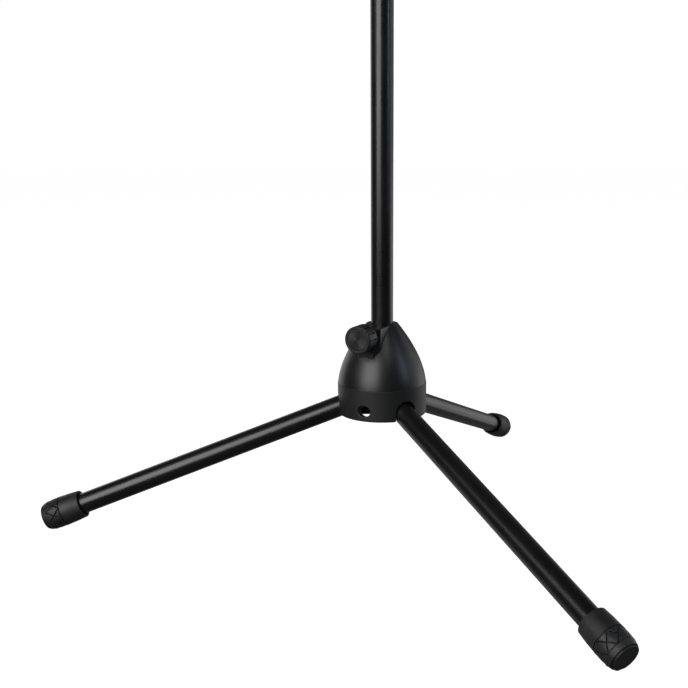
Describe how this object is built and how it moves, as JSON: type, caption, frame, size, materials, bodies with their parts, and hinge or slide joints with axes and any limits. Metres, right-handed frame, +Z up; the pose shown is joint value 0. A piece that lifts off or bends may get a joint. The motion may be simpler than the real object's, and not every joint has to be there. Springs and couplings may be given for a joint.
{
  "type": "trumpet stand",
  "caption": "Folding stand that holds a trumpet upright on a tapered peg, with splayed legs, a clamp hub and a telescoping tube.",
  "frame": {"origin": "on the floor, at the centre of the outer box of the stand with its legs open", "axes": "+Z up along the tube; +Y towards the rear leg; the clamp knob faces -Y; +X to the right of someone facing the knob"},
  "size_m": [0.554, 0.4825, 0.89],
  "materials": {
    "hub_cast": "satin black paint on a casting",
    "tube_paint": "satin black powder coat",
    "black_plastic": "moulded black plastic",
    "black_rubber": "moulded black rubber",
    "zinc_steel": "bright zinc plate",
    "brass": "plain brass",
    "peg_felt": "dark grey felt"
  },
  "bodies": {
    "hub": {"hub_dome": "hub_cast", "hub_ring": "hub_cast", "tube_bush": "black_plastic", "boss_insert": "brass", "ring_screw_1": "zinc_steel", "ring_screw_2": "zinc_steel", "ring_screw_3": "zinc_steel", "pivot_bolt_rear": "zinc_steel", "pivot_bolt_left": "zinc_steel", "pivot_bolt_right": "zinc_steel", "pivot_nut_rear": "zinc_steel", "pivot_nut_left": "zinc_steel", "pivot_nut_right": "zinc_steel"},
    "rear_leg": {"leg_tube_rear": "tube_paint", "leg_plug_rear": "black_plastic", "rubber_foot_rear": "black_rubber"},
    "left_leg": {"leg_tube_left": "tube_paint", "leg_plug_left": "black_plastic", "rubber_foot_left": "black_rubber"},
    "right_leg": {"leg_tube_right": "tube_paint", "leg_plug_right": "black_plastic", "rubber_foot_right": "black_rubber"},
    "pad": {"clamp_pad": "black_plastic"},
    "knob": {"clamp_knob": "black_plastic", "knob_cap": "black_plastic", "clamp_screw": "zinc_steel"},
    "tube": {"lower_tube": "tube_paint", "tube_plug": "black_plastic", "clutch_body": "black_plastic", "clutch_collet": "black_plastic"},
    "grip": {"clutch_grip": "black_plastic"},
    "rod": {"upper_rod": "tube_paint", "rod_guide": "black_plastic", "rod_stud": "zinc_steel", "peg_base": "black_plastic", "felt_ring": "peg_felt", "peg_cone": "black_plastic", "peg_nut": "zinc_steel", "peg_tip": "black_rubber"}
  },
  "joints": [
    {"name": "rear_leg_fold", "type": "hinge", "parent": "hub", "child": "rear_leg", "pos_m": [0, -0.05244, 0.1195], "axis": [-1, 0, 0], "range_deg": [0, 68]},
    {"name": "left_leg_fold", "type": "hinge", "parent": "hub", "child": "left_leg", "pos_m": [-0.0194, -0.08604, 0.1195], "axis": [0.5, -0.866, 0], "range_deg": [0, 68]},
    {"name": "right_leg_fold", "type": "hinge", "parent": "hub", "child": "right_leg", "pos_m": [0.0194, -0.08604, 0.1195], "axis": [0.5, 0.866, 0], "range_deg": [0, 68]},
    {"name": "pad_travel", "type": "slide", "parent": "hub", "child": "pad", "axis": [0, -1, 0], "range_m": [0, 0.0025]},
    {"name": "knob_turn", "type": "hinge", "parent": "pad", "child": "knob", "pos_m": [0, -0.07484, 0.1846], "axis": [0, -1, 0], "range_deg": [0, 720]},
    {"name": "tube_slide", "type": "slide", "parent": "hub", "child": "tube", "axis": [0, 0, 1], "range_m": [-0.1, 0.025]},
    {"name": "grip_turn", "type": "hinge", "parent": "tube", "child": "grip", "pos_m": [0, -0.07484, 0.57], "axis": [0, 0, 1], "range_deg": [0, 180]},
    {"name": "rod_slide", "type": "slide", "parent": "tube", "child": "rod", "axis": [0, 0, 1], "range_m": [-0.08, 0.08]}
  ],
  "couplings": [
    {"joint": "knob_turn", "follows": "pad_travel", "rad_per_m": 5026.5}
  ]
}
